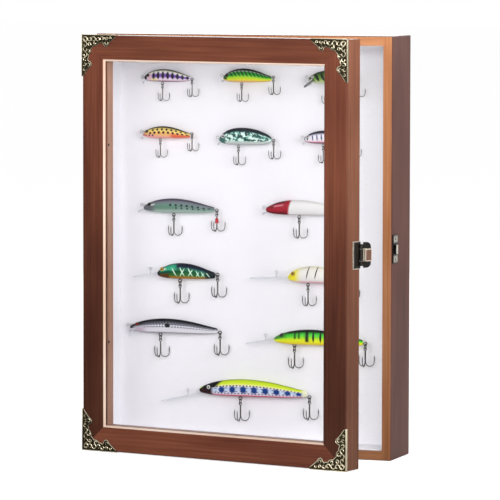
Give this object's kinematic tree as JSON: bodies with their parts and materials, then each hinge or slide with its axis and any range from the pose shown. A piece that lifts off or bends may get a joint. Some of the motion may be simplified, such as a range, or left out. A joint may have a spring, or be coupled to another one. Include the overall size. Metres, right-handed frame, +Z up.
{
  "type": "fishing lure display case",
  "caption": "Shallow wooden display case with a glazed, side-hinged door, hasp latch and scrolled metal corners, holding crankbait lures pinned on a white board.",
  "frame": {"origin": "centre of the case's flat base, midway between its sides and between its front and rear edges", "axes": "+X to the viewer's right, +Y towards the case's back, +Z up; the closed door's front faces -Y"},
  "size_m": [0.3318, 0.1634, 0.43],
  "materials": {
    "stained_wood": "satin stain, dark reddish brown",
    "back_board": "plain fibre board",
    "white_board": "matt white foam-core board",
    "white_lining": "matt white",
    "clear_glass": "clear",
    "dark_bronze": "antique brushed",
    "steel": "zinc plated",
    "hook_steel": "black nickel",
    "clear_plastic": "clear polycarbonate",
    "eye_plastic": "gloss",
    "red_plastic": "gloss",
    "violet_lure": "gloss lacquer",
    "green_lure": "gloss lacquer",
    "dark_green_lure": "gloss lacquer",
    "gold_lure": "gloss lacquer",
    "teal_lure": "gloss lacquer",
    "white_lure": "gloss lacquer",
    "grey_lure": "gloss lacquer",
    "blue_lure": "gloss lacquer"
  },
  "bodies": {
    "case": {"back_panel": "back_board", "back_panel_screws": "steel", "belly_hooks": "hook_steel", "case_bottom": "stained_wood", "case_left_side": "stained_wood", "case_right_side": "stained_wood", "case_top": "stained_wood", "display_pins": "steel", "hanger_plates": "steel", "hanger_screws": "steel", "hinge_case_leaves": "dark_bronze", "hinge_case_screws": "dark_bronze", "hinge_pins": "dark_bronze", "hook_dressing": "red_plastic", "hook_hangers": "hook_steel", "latch_catch": "dark_bronze", "latch_catch_screws": "dark_bronze", "line_ties": "hook_steel", "long_lips": "clear_plastic", "lure_01_violet_parr": "violet_lure", "lure_02_green_tiger": "green_lure", "lure_03_green_head": "dark_green_lure", "lure_04_gold_trout": "gold_lure", "lure_05_teal_camo": "teal_lure", "lure_06_purple_bar": "white_lure", "lure_07_grey_sardine": "grey_lure", "lure_08_red_head": "white_lure", "lure_09_green_perch": "dark_green_lure", "lure_10_yellow_face": "white_lure", "lure_11_silver_minnow": "grey_lure", "lure_12_lime_tiger": "green_lure", "lure_13_blue_parr": "blue_lure", "lure_eyes": "eye_plastic", "pinning_board": "white_board", "short_lips": "clear_plastic", "split_rings": "hook_steel", "tail_hooks": "hook_steel", "wall_liners": "white_lining"},
    "door": {"door_left_stile": "stained_wood", "door_right_stile": "stained_wood", "door_top_rail": "stained_wood", "door_bottom_rail": "stained_wood", "glass_pane": "clear_glass", "glazing_bead_left": "stained_wood", "glazing_bead_right": "stained_wood", "glazing_bead_top": "stained_wood", "glazing_bead_bottom": "stained_wood", "bead_pins": "dark_bronze", "hinge_door_leaves": "dark_bronze", "hinge_door_screws": "dark_bronze", "corner_top_left": "dark_bronze", "corner_top_right": "dark_bronze", "corner_bottom_left": "dark_bronze", "corner_bottom_right": "dark_bronze", "corner_nails": "dark_bronze", "latch_door_plate": "dark_bronze", "latch_pin": "dark_bronze", "latch_plate_screws": "dark_bronze"},
    "hasp": {"latch_hasp": "dark_bronze"}
  },
  "joints": [
    {"name": "door_hinge", "type": "hinge", "parent": "case", "child": "door", "pos_m": [-0.1624, -0.0314, 0.215], "axis": [0, 0, -1], "range_deg": [-13.7, 166.3]},
    {"name": "hasp_hinge", "type": "hinge", "parent": "door", "child": "hasp", "pos_m": [0.15292, -0.10888, 0.215], "axis": [0, 0, -1], "range_deg": [-25, 75]}
  ]
}
